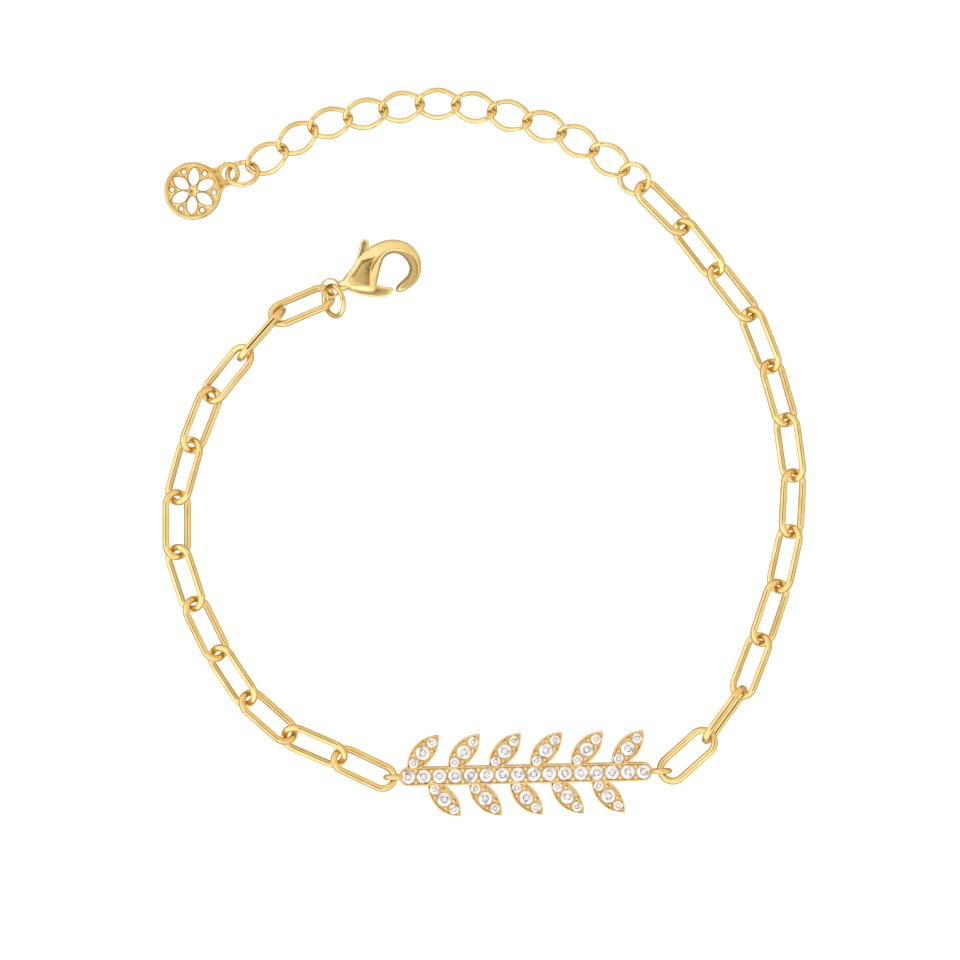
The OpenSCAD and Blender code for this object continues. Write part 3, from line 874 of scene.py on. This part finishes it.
# Opal white acrylic, lit from below: the lens sees it evenly white, in the shade of the links too.
# The glow is for the lens alone, so the metal mirrors only what the tent gives the sheet
opal = bpy.data.materials.new("opal_white_acrylic")
opal_tree = blank_tree(opal)
seen = add_node(opal_tree, "ShaderNodeLightPath").outputs["Is Camera Ray"]
glow = add_node(opal_tree, "ShaderNodeMath", {0: seen, 1: SHEET_GLOW}, operation="MULTIPLY")
surface = add_node(
    opal_tree,
    "ShaderNodeBsdfPrincipled",
    {
        "Base Color": srgb("#CECECE"),
        "Roughness": 0.8,
        "Specular IOR Level": 0.1,
        "Emission Color": (1, 1, 1, 1),
        "Emission Strength": glow.outputs[0],
    },
)
add_node(opal_tree, "ShaderNodeOutputMaterial", {"Surface": surface.outputs["BSDF"]})
floor_mesh.materials.append(opal)

# The tent is brighter on one side, and straight above it has a dark opening for the lens
tent = bpy.data.worlds.new("light_tent")
bpy.context.scene.world = tent
tent_tree = blank_tree(tent)
# How bright it is all round and at its brightest, and what each direction adds to that
TENT_LEVEL, TENT_PEAK, KEY_SIDE = 1.14, 1.47, (-0.23, -0.23, 0)
# Where the opening is, and how many degrees from there its shade begins to lift and has lifted
OPENING, OPENING_RADII = (0, 0, 1), (11.5, 17)
# What the tent shows at each share of its peak: the dimmer it is, the warmer
TENT_TONES = [
    (0.0, (0.08, 0.03, 0.0, 1)), (0.18, (0.26, 0.15, 0.01, 1)), (0.43, (0.56, 0.45, 0.15, 1)),
    (0.64, (0.67, 0.61, 0.5, 1)), (0.79, (0.77, 0.78, 0.77, 1)), (1.0, (1.0, 1.0, 1.0, 1)),
]
way = add_node(tent_tree, "ShaderNodeTexCoord").outputs["Generated"]
slant = add_node(tent_tree, "ShaderNodeVectorMath", {0: way, 1: KEY_SIDE}, operation="DOT_PRODUCT")
side_light = add_node(
    tent_tree, "ShaderNodeMath", {0: slant.outputs["Value"], 1: TENT_LEVEL}, operation="ADD"
)
upward = add_node(tent_tree, "ShaderNodeVectorMath", {0: way, 1: OPENING}, operation="DOT_PRODUCT")
opening = add_node(
    tent_tree,
    "ShaderNodeMapRange",
    {
        "Value": upward.outputs["Value"],
        "From Min": cos(radians(OPENING_RADII[1])),
        "From Max": cos(radians(OPENING_RADII[0])),
        "To Min": 1 / TENT_PEAK,
        "To Max": 0,
    },
    interpolation_type="SMOOTHSTEP",
)
level = add_node(
    tent_tree,
    "ShaderNodeMath",
    {0: side_light.outputs[0], 1: opening.outputs["Result"]},
    operation="MULTIPLY",
)
direct = add_node(tent_tree, "ShaderNodeLightPath").outputs["Is Camera Ray"]
share = add_node(tent_tree, "ShaderNodeMath", {0: level.outputs[0], 1: direct}, operation="MAXIMUM")
tones = add_node(tent_tree, "ShaderNodeValToRGB", {"Fac": share.outputs[0]}, TENT_TONES)
light = add_node(
    tent_tree, "ShaderNodeBackground", {"Color": tones.outputs["Color"], "Strength": TENT_PEAK}
)
add_node(tent_tree, "ShaderNodeOutputWorld", {"Surface": light.outputs["Background"]})

lens = bpy.data.cameras.new("long_lens")
lens.sensor_width = 36
lens.lens = LENS_AWAY * lens.sensor_width / PHOTO_ACROSS
lens.clip_start, lens.clip_end = 0.01, 10
eye = bpy.data.objects.new("long_lens", lens)
eye.location = (AIM + Vector((0, 0, LENS_AWAY))) / 1000
bpy.context.scene.collection.objects.link(eye)
bpy.context.scene.camera = eye
bpy.context.scene.view_settings.view_transform = "Standard"
